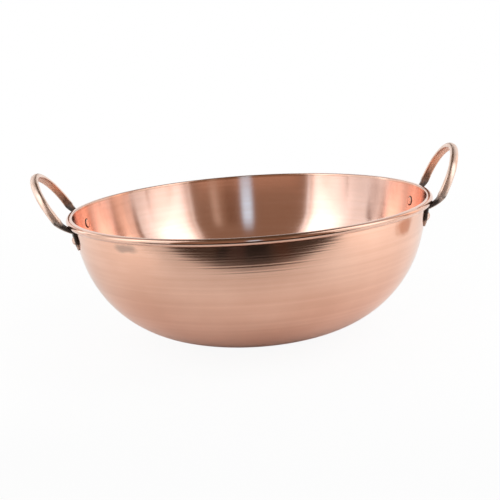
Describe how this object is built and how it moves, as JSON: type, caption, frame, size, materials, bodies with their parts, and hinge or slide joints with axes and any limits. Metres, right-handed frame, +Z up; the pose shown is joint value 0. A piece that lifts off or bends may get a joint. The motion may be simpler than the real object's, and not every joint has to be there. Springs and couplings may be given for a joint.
{
  "type": "jam pan",
  "caption": "Round-bottomed copper jam pan with a rolled rim and riveted loop handles.",
  "frame": {"origin": "centre of the flat base's underside", "axes": "+Z up out of the bowl, +X towards the right handle, +Y away from the picture's camera"},
  "size_m": [0.4182, 0.3598, 0.1758],
  "materials": {
    "spun_copper": "spun, satin polished",
    "forged_copper": "forged, oxidised at the feet",
    "rivet_copper": "hammered",
    "steel_wire": "drawn"
  },
  "bodies": {
    "root": {"bowl": "spun_copper", "rim_wire": "steel_wire", "left_handle": "forged_copper", "right_handle": "forged_copper", "left_front_rivet": "rivet_copper", "left_back_rivet": "rivet_copper", "right_front_rivet": "rivet_copper", "right_back_rivet": "rivet_copper"}
  },
  "joints": []
}
